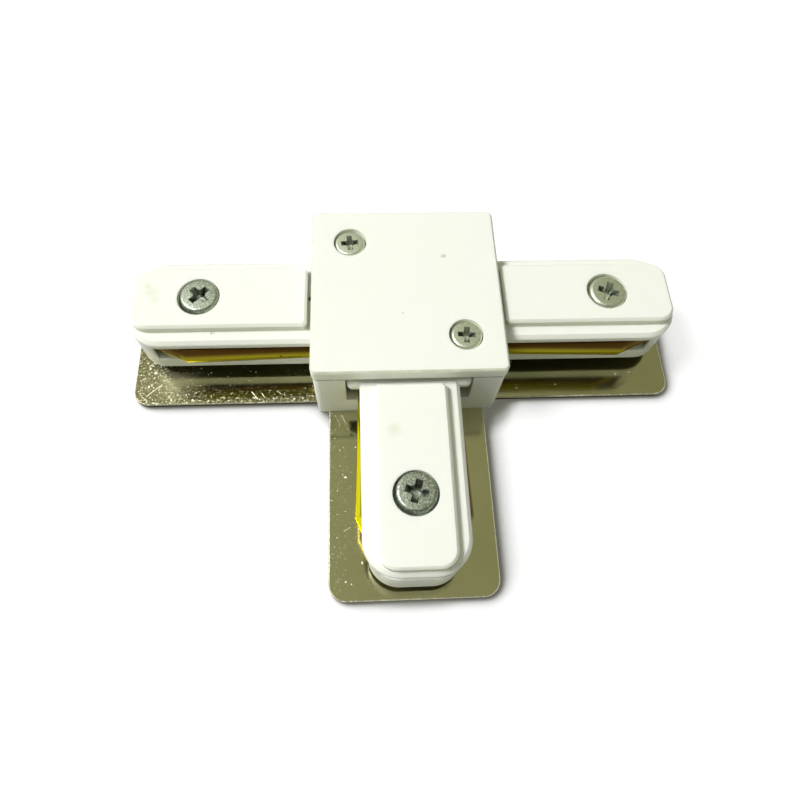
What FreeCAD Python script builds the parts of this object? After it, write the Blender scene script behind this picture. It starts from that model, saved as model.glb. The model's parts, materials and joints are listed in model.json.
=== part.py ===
import FreeCAD, Part
import math
import os

from FreeCAD import Vector

# Three-way connector for two-wire lighting track.
# Frame: millimetres, X along the straight run, the stem arm points to -Y, Z up.
# The origin is the middle of the junction box, on the flat underside of the clamp plate.

# Clamp plate, one T-shaped stamping of nickel-plated steel
plate_thickness = 1.0
plate_width = 30.8
plate_reach = 54.1
plate_corner = 3.2
plate_edge_chamfer = 0.2
collar_diameter = 6.6
collar_height = 1.2

# Junction box, a square moulding with a stepped slot in three of its walls
box_side = 35.2
box_corner = 1.2
wall_thickness = 2.0
floor_thickness = 2.85
box_height = 14.2
slot_width = 23.4
slot_step_height = 2.45
post_diameter = 5.5
post_inset = 5.2

# Top cover
cover_overhang = 0.15
cover_thickness = 2.9
cover_edge_chamfer = 0.35
cover_seam_chamfer = 0.25
cover_recess_diameter = 6.3
cover_recess_depth = 1.9
cover_lug_size = 1.9
cover_lug_depth = 1.2

# Arm body, one moulding: tongue, upper flange, grooved core and lower flange.
# A setback is measured from the end of the plate, an inset from the inner face of the wall.
lower_flange_width = 16.6
lower_flange_height = 3.1
lower_flange_setback = 1.8
lower_flange_corner = 5.5
core_inset = 4.2
groove_height = 5.25
groove_setback = 6.2
upper_flange_width = 18.2
upper_flange_height = 1.8
upper_flange_setback = 2.0
upper_flange_corner = 6.2
tongue_width = 13.1
tongue_height = 1.8
tongue_stand_off = 1.1
tongue_setback = 2.8
tongue_corner = 3.1
tongue_root_chamfer = 0.7
tongue_edge_chamfer = 0.5
flange_edge_chamfer = 0.7
tab_stand_out = 0.6
tab_corner = 1.2
head_thickness = 1.9
head_corner_gap = 1.1
clamp_hole_setback = 15.2
clamp_recess_diameter = 7.9
clamp_recess_depth = 3.0

# Brass contact strip, a spring band with a rounded crest along its length
strip_thickness = 0.5
strip_height = 4.6
strip_crest = 0.8
strip_working_width = 20.4
strip_post_gap = 1.1
strip_inner_inset = 8.0
strip_bend_inset = 2.6
strip_wall_depth = 0.3
strip_wall_slack = 0.7
strip_tail_setback = 12.6
strip_end_setback = 4.6
strip_tail_offset = 5.55
foot_length = 3.6
foot_free_offset = 1.75

# Brass links that join the strips of one pole inside the box, welded to their feet
link_thickness = 0.8
link_width = 4.0

# Clamp screws, M4 with a pan head
clamp_screw_diameter = 4.0
clamp_head_diameter = 7.1
clamp_head_height = 2.4
clamp_head_rim = 1.8
clamp_head_crown = 5.8
clamp_slack = 0.8
clamp_screw_tip = 0.3
clamp_cross_span = 4.0
clamp_cross_foot = 1.6
clamp_cross_width = 1.05
clamp_cross_depth = 1.7

# Cover screws, self-tapping with a pan head
cover_screw_diameter = 2.9
cover_head_diameter = 5.7
cover_head_height = 1.7
cover_head_rim = 1.2
cover_head_crown = 4.6
cover_screw_length = 10.0
cover_cross_span = 3.2
cover_cross_foot = 1.3
cover_cross_width = 0.9
cover_cross_depth = 1.2

# Chamfer at the tip of every screw
screw_tip_chamfer = 0.4

# Turn of each cross recess about its own axis, in degrees
cross_turns = {"left": 46, "right": 70, "stem": 73, "back_left": 5, "front_right": 85}

# Clearances
slide_gap = 0.25
thread_gap = 0.05
screw_gap = 0.3
cover_gap = 0.1
lug_gap = 0.15

# Levels that follow from the heights above
box_bottom = plate_thickness
floor_top = box_bottom + floor_thickness
box_top = box_bottom + box_height
cover_top = box_top + cover_thickness
arm_bottom = floor_top
groove_bottom = arm_bottom + lower_flange_height
groove_top = groove_bottom + groove_height
flange_top = groove_top + upper_flange_height
tongue_top = flange_top + tongue_height
strip_bottom = groove_bottom + (groove_height - strip_height) / 2
strip_top = strip_bottom + strip_height

# Places that follow from the box and the plate
outer_wall = box_side / 2
inner_wall = outer_wall - wall_thickness
post_offset = inner_wall - post_inset
core_start = inner_wall - core_inset
head_end = inner_wall - slide_gap / 2
head_start = head_end - head_thickness
head_width = 2 * (inner_wall - head_thickness - head_corner_gap)
tab_front = outer_wall + tab_stand_out
tab_width = slot_width - 2 * slide_gap
tongue_start = outer_wall + tongue_stand_off
lower_flange_reach = plate_reach - lower_flange_setback
upper_flange_reach = plate_reach - upper_flange_setback
tongue_reach = plate_reach - tongue_setback
groove_end = plate_reach - groove_setback
clamp_hole_reach = plate_reach - clamp_hole_setback
strip_inner_end = inner_wall - strip_inner_inset
strip_inner_offset = post_offset - post_diameter / 2 - strip_post_gap - strip_crest
core_width = 2 * strip_inner_offset - strip_thickness
strip_bend_in = inner_wall - strip_bend_inset
strip_wall_pass = outer_wall - strip_wall_depth
strip_tail_start = plate_reach - strip_tail_setback
strip_tail_end = plate_reach - strip_end_setback

# Turn of each arm about Z, from an arm that points to +X
arm_turns = {"right": 0, "left": 180, "stem": -90}

# The six strips: arm, side of the arm in its own frame, and the pole that it belongs to
strips = {
    "left_back": ("left", -1, "upper"),
    "left_front": ("left", 1, "lower"),
    "right_back": ("right", 1, "upper"),
    "right_front": ("right", -1, "lower"),
    "stem_left": ("stem", -1, "lower"),
    "stem_right": ("stem", 1, "upper"),
}


def block(x_min, x_max, y_min, y_max, z_min, z_max):
    """Box between six planes."""
    size = (x_max - x_min, y_max - y_min, z_max - z_min)
    return Part.makeBox(*size, Vector(x_min, y_min, z_min))


def rod(x, y, diameter, z_min, z_max):
    """Upright cylinder."""
    return Part.makeCylinder(diameter / 2, z_max - z_min, Vector(x, y, z_min))


def upright_edges(solid, x):
    """The upright edges of a solid at one X."""
    return [
        edge for edge in solid.Edges
        if edge.BoundBox.ZLength > edge.BoundBox.DiagonalLength * 0.999
        and abs(edge.CenterOfMass.x - x) < 1e-6
    ]


def rounded_slab(x_min, x_max, width, z_min, z_max, near_radius, far_radius):
    """Slab along X, centred on Y = 0, with its upright corners rounded at each end."""
    slab = block(x_min, x_max, -width / 2, width / 2, z_min, z_max)
    for x_end, radius in ((x_min, near_radius), (x_max, far_radius)):
        if radius > 0:
            slab = slab.makeFillet(radius, upright_edges(slab, x_end))
    return slab


def rim_edges(solid, level):
    """The edges of a solid that lie flat at one level."""
    return [
        edge for edge in solid.Edges
        if edge.BoundBox.ZLength < 1e-6 and abs(edge.CenterOfMass.z - level) < 1e-6
    ]


def turned(solid, angle):
    """Copy of a solid, turned about the vertical axis of the box."""
    copy = solid.copy()
    copy.rotate(Vector(0, 0, 0), Vector(0, 0, 1), angle)
    return copy


def turned_point(x, y, angle):
    """Place of an arm's point after the arm's turn."""
    radians = math.radians(angle)
    return (
        x * math.cos(radians) - y * math.sin(radians),
        x * math.sin(radians) + y * math.cos(radians),
    )


def square_prism(side, corner, z_min, z_max):
    """Square prism about the vertical axis, with rounded upright corners."""
    return rounded_slab(-side / 2, side / 2, side, z_min, z_max, corner, corner)


def strip_route(side):
    """Plan points of a strip from its welded inner end to its tucked tail."""
    working_offset = strip_working_width / 2 - strip_crest - strip_thickness / 2
    plan = [
        (strip_inner_end, strip_inner_offset),
        (strip_bend_in, strip_inner_offset),
        (strip_wall_pass, working_offset - strip_wall_slack),
        (strip_tail_start, working_offset),
        (strip_tail_end, strip_tail_offset),
    ]
    middle = (strip_bottom + strip_top) / 2
    return [Vector(x, side * y, middle) for x, y in plan]


def tail_pocket(side):
    """Slanted pocket in the end of the arm that takes the tail of a strip."""
    start, end = strip_route(side)[-2:]
    along = (end - start).normalize()
    outward = Vector(-along.y, along.x, 0) * side
    inner = outward * -(strip_thickness / 2 + slide_gap)
    outer = outward * (strip_crest + strip_thickness / 2 + slide_gap)
    far = end + along * slide_gap
    corners = [start + inner, far + inner, far + outer, start + outer]
    level = [Vector(point.x, point.y, groove_bottom) for point in corners]
    outline = Part.makePolygon(level + level[:1])
    return Part.Face(outline).extrude(Vector(0, 0, groove_height))


def arm_body():
    """Arm moulding that points to +X."""
    spine = rounded_slab(
        core_start, lower_flange_reach, lower_flange_width,
        arm_bottom, groove_top, 0, lower_flange_corner)
    for side in (1, -1):
        near, far = sorted((side * core_width / 2, side * lower_flange_width))
        groove = block(core_start, groove_end, near, far, groove_bottom, groove_top)
        spine = spine.cut(groove).cut(tail_pocket(side))

    upper_flange = rounded_slab(
        head_start, upper_flange_reach, upper_flange_width,
        groove_top, flange_top, 0, upper_flange_corner)
    tab = rounded_slab(head_start, tab_front, tab_width, groove_top, flange_top, 0, tab_corner)
    head = block(
        head_start, head_end, -head_width / 2, head_width / 2, groove_top, box_top - cover_gap)
    layer = upper_flange.fuse(tab).removeSplitter()
    layer = layer.makeChamfer(flange_edge_chamfer, rim_edges(layer, flange_top))

    tongue = rounded_slab(
        tongue_start, tongue_reach, tongue_width, flange_top, tongue_top, 0, tongue_corner)
    tongue = tongue.makeChamfer(tongue_root_chamfer, upright_edges(tongue, tongue_start))
    tongue = tongue.makeChamfer(tongue_edge_chamfer, rim_edges(tongue, tongue_top))

    body = spine.multiFuse([layer, head, tongue]).removeSplitter()
    recess_floor = tongue_top - clamp_recess_depth
    hole_diameter = clamp_screw_diameter + 2 * screw_gap
    body = body.cut(rod(clamp_hole_reach, 0, clamp_recess_diameter, recess_floor, tongue_top))
    return body.cut(rod(clamp_hole_reach, 0, hole_diameter, arm_bottom, recess_floor))


def contact_strip(side, pole):
    """Spring band along one groove, with a foot that its link is welded to."""
    route = strip_route(side)
    half = strip_height / 2
    sections = []
    for face in (strip_thickness / 2, -strip_thickness / 2):
        start = route[0] + Vector(0, side * face, 0)
        low = start + Vector(0, 0, -half)
        high = start + Vector(0, 0, half)
        crest = start + Vector(0, side * strip_crest, 0)
        sections.append((low, crest, high))
    outer, inner = sections
    profile = Part.Wire([
        Part.Arc(*outer).toShape(),
        Part.LineSegment(outer[2], inner[2]).toShape(),
        Part.Arc(inner[2], inner[1], inner[0]).toShape(),
        Part.LineSegment(inner[0], outer[0]).toShape(),
    ])
    mitred = 1
    band = Part.makePolygon(route).makePipeShell([profile], True, False, mitred)

    foot_bottom = strip_top - strip_thickness if pole == "upper" else strip_bottom
    foot_edges = sorted((
        side * (strip_inner_offset + strip_thickness / 2),
        side * foot_free_offset,
    ))
    foot = block(
        strip_inner_end, strip_inner_end + foot_length, foot_edges[0], foot_edges[1],
        foot_bottom, foot_bottom + strip_thickness)
    return band.fuse(foot).removeSplitter()


def foot_middle(side):
    """Middle of a strip's foot in the arm's own frame."""
    inner_face = strip_inner_offset - strip_thickness / 2
    return strip_inner_end + foot_length / 2, side * (inner_face + foot_free_offset) / 2


def pole_link(pole):
    """Flat link: a bar across the box and a leg to the stem's strip.

    The upper link lies on its three feet, the lower one under them.
    """
    places = [
        turned_point(*foot_middle(side), arm_turns[arm])
        for arm, side, strip_pole in strips.values() if strip_pole == pole
    ]
    level = strip_top if pole == "upper" else strip_bottom - link_thickness
    bar_y = places[0][1]
    bar_reach = abs(places[0][0]) + link_width / 2
    leg_x, leg_y = next(place for place in places if abs(place[1]) > abs(place[0]))
    half = link_width / 2
    bar = block(-bar_reach, bar_reach, bar_y - half, bar_y + half, level, level + link_thickness)
    leg = block(leg_x - half, leg_x + half, leg_y - half, bar_y, level, level + link_thickness)
    return bar.fuse(leg).removeSplitter()


def junction_box():
    """Square box, open at the top, with a stepped slot for each arm and two screw posts."""
    box = square_prism(box_side, box_corner, box_bottom, box_top)
    box = box.cut(square_prism(2 * inner_wall, box_corner / 2, floor_top, box_top))
    step_level = floor_top + slot_step_height
    narrow = lower_flange_width / 2 + slide_gap
    slot = block(inner_wall, outer_wall, -slot_width / 2, slot_width / 2, step_level, box_top)
    throat = block(inner_wall, outer_wall, -narrow, narrow, floor_top, step_level)
    for angle in arm_turns.values():
        box = box.cut(turned(slot, angle)).cut(turned(throat, angle))
    hole_bottom = cover_screw_seat() - cover_screw_length - screw_gap
    for x, y in cover_screw_places().values():
        box = box.fuse(rod(x, y, post_diameter, floor_top, box_top))
        hole_diameter = cover_screw_diameter + 2 * thread_gap
        box = box.cut(rod(x, y, hole_diameter, hole_bottom, box_top))
    return box.removeSplitter()


def cover_screw_places():
    """The cover is held at two opposite corners."""
    return {"back_left": (-post_offset, post_offset), "front_right": (post_offset, -post_offset)}


def cover_screw_seat():
    """Level of the recess floor in the cover."""
    return cover_top - cover_recess_depth


def top_cover():
    """Flat lid with a fine seam above the box, two screw recesses and a lug in each corner."""
    side = box_side + 2 * cover_overhang
    cover = square_prism(side, box_corner, box_top, cover_top)
    cover = cover.makeChamfer(cover_edge_chamfer, rim_edges(cover, cover_top))
    cover = cover.makeChamfer(cover_seam_chamfer, rim_edges(cover, box_top))
    far = inner_wall - lug_gap
    near = far - cover_lug_size
    lug = block(near, far, near, far, box_top - cover_lug_depth, box_top)
    for quarter in range(4):
        cover = cover.fuse(turned(lug, 90 * quarter))
    for x, y in cover_screw_places().values():
        cover = cover.cut(rod(x, y, cover_recess_diameter, cover_screw_seat(), cover_top))
        cover = cover.cut(rod(x, y, cover_screw_diameter + 2 * screw_gap, box_top, cover_top))
    return cover.removeSplitter()


def clamp_plate():
    """T-shaped plate with three tapped collars raised from the sheet."""
    run = rounded_slab(
        -plate_reach, plate_reach, plate_width, 0, plate_thickness, plate_corner, plate_corner)
    stem = rounded_slab(0, plate_reach, plate_width, 0, plate_thickness, 0, plate_corner)
    plate = run.fuse(turned(stem, arm_turns["stem"])).removeSplitter()
    plate = plate.makeChamfer(plate_edge_chamfer, rim_edges(plate, plate_thickness))
    collar_top = plate_thickness + collar_height
    hole_diameter = clamp_screw_diameter + 2 * thread_gap
    for angle in arm_turns.values():
        x, y = turned_point(clamp_hole_reach, 0, angle)
        plate = plate.fuse(rod(x, y, collar_diameter, 0, collar_top))
        plate = plate.cut(rod(x, y, hole_diameter, 0, collar_top))
    return plate.removeSplitter()


def cross_recess(span, foot, width, depth, top):
    """Cutter for a cross recess: two crossed wedges that narrow towards the bottom."""
    wedges = []
    for turn in (0, 90):
        outline = Part.makePolygon([
            Vector(-span / 2, 0, top),
            Vector(span / 2, 0, top),
            Vector(foot / 2, 0, top - depth),
            Vector(-foot / 2, 0, top - depth),
            Vector(-span / 2, 0, top),
        ])
        wedge = Part.Face(outline).extrude(Vector(0, width, 0))
        wedge.translate(Vector(0, -width / 2, 0))
        wedges.append(turned(wedge, turn))
    return wedges[0].fuse(wedges[1]).removeSplitter()


def pan_screw(head, shank_diameter, seat, tip):
    """Screw on the Z axis: flat crown, sloping shoulder and upright rim above the seat."""
    diameter, height, rim, crown = head
    shank_radius = shank_diameter / 2
    half_section = Part.makePolygon([
        Vector(0, 0, tip),
        Vector(shank_radius - screw_tip_chamfer, 0, tip),
        Vector(shank_radius, 0, tip + screw_tip_chamfer),
        Vector(shank_radius, 0, seat),
        Vector(diameter / 2, 0, seat),
        Vector(diameter / 2, 0, seat + rim),
        Vector(crown / 2, 0, seat + height),
        Vector(0, 0, seat + height),
        Vector(0, 0, tip),
    ])
    return Part.Face(half_section).revolve(Vector(0, 0, 0), Vector(0, 0, 1), 360)


def clamp_screw(arm):
    """Screw that pulls the plate towards one arm."""
    seat = tongue_top - clamp_recess_depth + clamp_slack
    head = (clamp_head_diameter, clamp_head_height, clamp_head_rim, clamp_head_crown)
    screw = pan_screw(head, clamp_screw_diameter, seat, clamp_screw_tip)
    screw = screw.cut(cross_recess(
        clamp_cross_span, clamp_cross_foot, clamp_cross_width, clamp_cross_depth,
        seat + clamp_head_height))
    screw = turned(screw, cross_turns[arm])
    x, y = turned_point(clamp_hole_reach, 0, arm_turns[arm])
    screw.translate(Vector(x, y, 0))
    return screw


def cover_screw(corner):
    """Screw that holds the cover down on a post."""
    seat = cover_screw_seat()
    head = (cover_head_diameter, cover_head_height, cover_head_rim, cover_head_crown)
    screw = pan_screw(head, cover_screw_diameter, seat, seat - cover_screw_length)
    screw = screw.cut(cross_recess(
        cover_cross_span, cover_cross_foot, cover_cross_width, cover_cross_depth,
        seat + cover_head_height))
    screw = turned(screw, cross_turns[corner])
    x, y = cover_screw_places()[corner]
    screw.translate(Vector(x, y, 0))
    return screw


def build_parts():
    """Every piece of the connector by its node name."""
    parts = {
        "clamp_plate": clamp_plate(),
        "junction_box": junction_box(),
        "top_cover": top_cover(),
    }
    for arm, angle in arm_turns.items():
        parts[f"arm_body_{arm}"] = turned(arm_body(), angle)
        parts[f"clamp_screw_{arm}"] = clamp_screw(arm)
    for name, (arm, side, pole) in strips.items():
        parts[f"contact_strip_{name}"] = turned(contact_strip(side, pole), arm_turns[arm])
    for pole in ("upper", "lower"):
        parts[f"{pole}_link"] = pole_link(pole)
    for corner in cover_screw_places():
        parts[f"cover_screw_{corner}"] = cover_screw(corner)
    return parts


os.makedirs("parts", exist_ok=True)
for name, shape in build_parts().items():
    assert shape.isValid(), name
    shape.exportStep(f"parts/{name}.step")
    box = shape.BoundBox
    size = (round(box.XLength, 2), round(box.YLength, 2), round(box.ZLength, 2))
    print(name, size, "solids", len(shape.Solids), "volume", round(shape.Volume, 1))
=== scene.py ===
# %% [markdown]
# # A three-way connector for lighting track
#
# The object is a T-shaped joint for two-wire lighting track: a square white box with a screwed cover on a
# T-shaped nickel-plated plate, and a white insert with brass contact strips in three of its walls. The
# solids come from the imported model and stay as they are. This file gives them their finishes, puts
# detailed screws in place of the plain ones, and adds the floor, the light and the camera.

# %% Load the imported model
import json
import math

import bmesh
import bpy
from mathutils import Matrix, Vector


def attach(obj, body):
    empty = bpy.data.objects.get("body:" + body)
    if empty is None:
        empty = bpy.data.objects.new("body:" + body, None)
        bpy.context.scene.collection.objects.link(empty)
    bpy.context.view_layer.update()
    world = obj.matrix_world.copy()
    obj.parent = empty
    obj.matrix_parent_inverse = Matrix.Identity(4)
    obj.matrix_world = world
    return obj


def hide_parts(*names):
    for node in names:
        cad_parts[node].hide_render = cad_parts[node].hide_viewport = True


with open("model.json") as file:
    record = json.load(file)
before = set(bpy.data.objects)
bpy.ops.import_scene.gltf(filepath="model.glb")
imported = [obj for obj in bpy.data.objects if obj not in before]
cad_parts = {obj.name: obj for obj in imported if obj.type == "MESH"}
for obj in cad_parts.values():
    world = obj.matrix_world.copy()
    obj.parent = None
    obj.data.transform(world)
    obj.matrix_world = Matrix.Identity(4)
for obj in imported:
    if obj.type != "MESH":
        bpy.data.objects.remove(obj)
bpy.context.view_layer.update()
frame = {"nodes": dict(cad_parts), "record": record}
MM = 0.001

# %% [markdown]
# ## Two helpers
#
# Colours are given as sRGB hex values, but shaders work in linear light, so one function turns them. The
# second function adds a node with its settings and links in one call, which keeps each material short
# enough to read from top to bottom.

# %% Colour and node helpers
def linear(hex_colour):
    """Linear colour of an sRGB hex value."""
    parts = [int(hex_colour[i:i + 2], 16) / 255 for i in (1, 3, 5)]
    return (*(p / 12.92 if p <= 0.04045 else ((p + 0.055) / 1.055) ** 2.4 for p in parts), 1.0)


def add(tree, kind, settings=(), links=()):
    """One shader node. Settings are its own properties or its sockets' values, links are sockets to join."""
    node = tree.nodes.new("ShaderNode" + kind)
    for name, value in dict(settings).items():
        if isinstance(name, str) and hasattr(node, name):
            setattr(node, name, value)
        else:
            node.inputs[name].default_value = value
    for name, source in dict(links).items():
        tree.links.new(source, node.inputs[name])
    return node


def new_material(name):
    """An empty node material."""
    material = bpy.data.materials.new(name)
    material.use_nodes = True
    material.node_tree.nodes.clear()
    return material, material.node_tree


def finish_material(tree, surface):
    """Joins a surface to the material's output."""
    output = tree.nodes.new("ShaderNodeOutputMaterial")
    tree.links.new(surface, output.inputs["Surface"])


print("white of the mouldings in linear light:", [round(v, 3) for v in linear("#F6F8EA")])

# %% [markdown]
# ## The camera
#
# The picture was taken by hand from close by, looking steeply down, a little from the left and slightly
# rolled. The place and the angles come from lining up the solids' edges with the picture, so they are set
# as numbers. A matrix made of the three view axes is clearer here than a tracking constraint, because it
# holds the roll as well.

# %% Camera
camera_place = Vector((-7.383, -67.275, 116.713)) * MM
yaw, pitch, roll = (math.radians(angle) for angle in (6.778, 65.738, 4.902))
forward = Vector((math.sin(yaw) * math.cos(pitch), math.cos(yaw) * math.cos(pitch), -math.sin(pitch)))
level_right = Vector((math.cos(yaw), -math.sin(yaw), 0))
level_up = level_right.cross(forward)
view_right = math.cos(roll) * level_right + math.sin(roll) * level_up
view_up = -math.sin(roll) * level_right + math.cos(roll) * level_up

lens = bpy.data.cameras.new("camera")
lens.sensor_width = 36
lens.lens = 28.39
lens.clip_start = 0.002
camera = bpy.data.objects.new("camera", lens)
view_axes = Matrix((view_right, view_up, -forward)).transposed().to_4x4()
camera.matrix_world = Matrix.Translation(camera_place) @ view_axes
bpy.context.collection.objects.link(camera)
bpy.context.scene.camera = camera
bpy.context.scene.view_settings.view_transform = "Standard"
print("camera", round(camera_place.length / MM), "mm from the box")

# %% [markdown]
# ## The floor
#
# The object lies on bright white paper. A plain white surface under this light would come out light grey,
# so the camera and the reflections get most of their white from emission, which lifts it to paper white
# and still leaves a faint cast shadow. An occlusion mask darkens that glow and the paper's tone where the
# object touches the paper, a painted contact shadow. The mask looks towards the window, so this painted
# shadow is darker on the far sides of the plate.
# All other rays meet a mid-grey card, because white paper all round would fill the shaded sides with more
# light than the real ones have. From below the paper is clear, so that the underside of the plate can be
# looked at. Far from the object the glow rises to full white, where the lamp's light runs out.

# %% Floor
paper, tree = new_material("white_paper")
seen = add(tree, "LightPath")
camera_or_gloss = add(tree, "Math", {"operation": "MAXIMUM"}, {
    0: seen.outputs["Is Camera Ray"], 1: seen.outputs["Is Glossy Ray"]})
straight_on = add(tree, "Math", {"operation": "MAXIMUM"}, {
    0: camera_or_gloss.outputs[0], 1: seen.outputs["Is Transmission Ray"]})
towards_window = add(tree, "CombineXYZ", {0: -0.75, 1: 0.25, 2: 0.61})
# painted contact shadow: occlusion darkens the paper's glow and tone near the object
touch = add(tree, "AmbientOcclusion", {"samples": 24, "Distance": 6 * MM, "only_local": False}, {
    "Normal": towards_window.outputs[0]})
painted_contact_shadow = add(tree, "MapRange", {"From Min": 0.64, "From Max": 0.91, "To Min": 0.1, "To Max": 1.0}, {
    "Value": touch.outputs["AO"]})
lit_tone = add(tree, "Mix", {"data_type": "RGBA", 6: (0, 0, 0, 1), 7: (0.3, 0.3, 0.3, 1)}, {
    0: painted_contact_shadow.outputs[0]})
from_object = add(tree, "VectorMath", {"operation": "LENGTH"}, {0: add(tree, "TexCoord").outputs["Object"]})
glow = add(tree, "MapRange", {"From Min": 0.12, "From Max": 0.5, "To Min": 0.77, "To Max": 1.0}, {
    "Value": from_object.outputs["Value"]})
glow_tone = add(tree, "Mix", {"data_type": "RGBA", 6: (0.06, 0.058, 0.03, 1)}, {
    0: painted_contact_shadow.outputs[0], 7: glow.outputs[0]})
lit_part = add(tree, "BsdfDiffuse", (), {"Color": lit_tone.outputs[2]})
glow_part = add(tree, "Emission", {"Strength": 1.0}, {"Color": glow_tone.outputs[2]})
bright_paper = add(tree, "AddShader", (), {0: lit_part.outputs[0], 1: glow_part.outputs[0]})
grey_card = add(tree, "BsdfDiffuse", {"Color": (0.33, 0.34, 0.27, 1)})
paper_mix = add(tree, "MixShader", (), {
    0: straight_on.outputs[0], 1: grey_card.outputs[0], 2: bright_paper.outputs[0]})
from_below = add(tree, "NewGeometry").outputs["Backfacing"]
see_through = add(tree, "BsdfTransparent")
one_sided = add(tree, "MixShader", (), {0: from_below, 1: paper_mix.outputs[0], 2: see_through.outputs[0]})
finish_material(tree, one_sided.outputs[0])

floor_level = -0.02 * MM
half_floor = 1.5
floor_mesh = bpy.data.meshes.new("floor")
floor_mesh.from_pydata(
    [(x * half_floor, y * half_floor, floor_level) for x, y in ((-1, -1), (1, -1), (1, 1), (-1, 1))],
    [], [(0, 1, 2, 3)])
floor_mesh.materials.append(paper)
floor = bpy.data.objects.new("floor", floor_mesh)
bpy.context.collection.objects.link(floor)
print("floor", 2 * half_floor, "m wide")

# %% [markdown]
# ## The light
#
# The shadows say where the light is. The cover throws a 3 mm shadow on the right insert from 4 mm above
# it, and next to nothing falls to the front or the back, so the light stands about 55 degrees high on the
# left. One round lamp makes that light, and its size sets how soft the shadow edges are. The rest comes
# from the room. For the shaded sides it is a slightly green fill, brighter from the left. For the metal it
# has more shape: an olive ceiling that is brighter on the left, a bright window low on the left and a dark
# front, where the photographer stands, because a mirror shows the room and would look flat in an even one.

# %% Lamp and room
towards_lamp = Vector((-0.57, 0.06, 0.82)).normalized()
lamp_distance = 1.5
lamp_data = bpy.data.lights.new("window", "AREA")
lamp_data.shape = "DISK"
lamp_data.size = 0.385
lamp_data.energy = 20.4
lamp = bpy.data.objects.new("window", lamp_data)
lamp.location = towards_lamp * lamp_distance
lamp.rotation_mode = "QUATERNION"
lamp.rotation_quaternion = towards_lamp.to_track_quat("Z", "Y")
bpy.context.collection.objects.link(lamp)

world = bpy.data.worlds.new("room")
bpy.context.scene.world = world
world.use_nodes = True
tree = world.node_tree
tree.nodes.clear()
direction = add(tree, "SeparateXYZ", (), {0: add(tree, "TexCoord").outputs["Generated"]})
leftward = add(tree, "MapRange", {"From Min": 0.45, "From Max": -0.45}, {"Value": direction.outputs["X"]})
ceiling = add(tree, "Mix", {"data_type": "RGBA", 6: (0.3, 0.3, 0.18, 1), 7: (0.5, 0.5, 0.35, 1)}, {
    0: leftward.outputs[0]})
low = add(tree, "MapRange", {"From Min": 0.7, "From Max": 0.15}, {"Value": direction.outputs["Z"]})
window_side = add(tree, "MapRange", {"From Min": -0.25, "From Max": -0.8}, {"Value": direction.outputs["X"]})
window_share = add(tree, "Math", {"operation": "MULTIPLY"}, {0: low.outputs[0], 1: window_side.outputs[0]})
with_window = add(tree, "Mix", {"data_type": "RGBA", 7: (1, 1, 0.94, 1)}, {
    0: window_share.outputs[0], 6: ceiling.outputs[2]})
front = add(tree, "MapRange", {"From Min": -0.2, "From Max": -0.75, "To Max": 0.85}, {
    "Value": direction.outputs["Y"]})
gloss_room = add(tree, "Mix", {"data_type": "RGBA", 7: (0.03, 0.03, 0.02, 1)}, {
    0: front.outputs[0], 6: with_window.outputs[2]})
far_left = add(tree, "MapRange", {"From Min": -0.45, "From Max": -0.9}, {"Value": direction.outputs["X"]})
fill = add(tree, "Mix", {"data_type": "RGBA", 6: (0.28, 0.29, 0.24, 1), 7: (0.6, 0.61, 0.56, 1)}, {
    0: far_left.outputs[0]})
seen = add(tree, "LightPath")
by_gloss = add(tree, "Mix", {"data_type": "RGBA"}, {
    0: seen.outputs["Is Glossy Ray"], 6: fill.outputs[2], 7: gloss_room.outputs[2]})
by_camera = add(tree, "Mix", {"data_type": "RGBA", 7: (1, 1, 1, 1)}, {
    0: seen.outputs["Is Camera Ray"], 6: by_gloss.outputs[2]})
background = add(tree, "Background", (), {"Color": by_camera.outputs[2]})
world_output = tree.nodes.new("ShaderNodeOutputWorld")
tree.links.new(background.outputs[0], world_output.inputs["Surface"])
print("lamp", lamp_distance, "m away,", round(math.degrees(math.asin(towards_lamp.z))), "degrees high")

# %% [markdown]
# ## White moulded ABS
#
# The box, the cover and the inserts are injection-moulded ABS, filled white. The steel of the mould leaves
# a satin skin: a soft highlight, an even colour with the faintest yellowing, and no grain that shows from
# a step away. Handling has left a few specks and two smudges. The cover's slanted edge is greyed in
# patches. The colour is mixed from slow noise, and the specks come from a cell pattern that keeps one cell
# in ten. Shade is painted into the colour too: a line along the seam under the cover's overhang, the slits
# behind the tongues, a dark spot for a small hole in the left slit, the pockets of the strips, the corners
# where surfaces meet, which also gather dirt, the undersides over the plate, the front sides of the tongues
# and, most, the end of the stem. Each mark is a mask, and four small functions make and join masks.

# %% Masks
def near(tree, place, spot_mm, radius_mm, soft_mm):
    """Mask that is 1 within a radius of a spot of the object and fades to 0."""
    spot = [v * MM for v in spot_mm]
    away = add(tree, "VectorMath", {"operation": "DISTANCE", 1: spot}, {0: place})
    fade = add(tree, "MapRange", {
        "From Min": radius_mm * MM, "From Max": (radius_mm + soft_mm) * MM, "To Min": 1.0, "To Max": 0.0,
    }, {"Value": away.outputs["Value"]})
    return fade.outputs[0]


def largest(tree, masks):
    """The largest of several masks."""
    result = masks[0]
    for mask in masks[1:]:
        result = add(tree, "Math", {"operation": "MAXIMUM"}, {0: result, 1: mask}).outputs[0]
    return result


def all_of(tree, masks):
    """The product of several masks."""
    result = masks[0]
    for mask in masks[1:]:
        result = add(tree, "Math", {"operation": "MULTIPLY"}, {0: result, 1: mask}).outputs[0]
    return result


def band(tree, value, low_mm, high_mm, soft_low_mm, soft_high_mm):
    """Mask between two limits, soft on both sides."""
    rise = add(tree, "MapRange", {"From Min": (low_mm - soft_low_mm) * MM, "From Max": low_mm * MM}, {
        "Value": value})
    fall = add(tree, "MapRange", {"From Min": (high_mm + soft_high_mm) * MM, "From Max": high_mm * MM}, {
        "Value": value})
    return all_of(tree, [rise.outputs[0], fall.outputs[0]])


print("mask helpers ready:", ", ".join(helper.__name__ for helper in (near, largest, all_of, band)))

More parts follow.
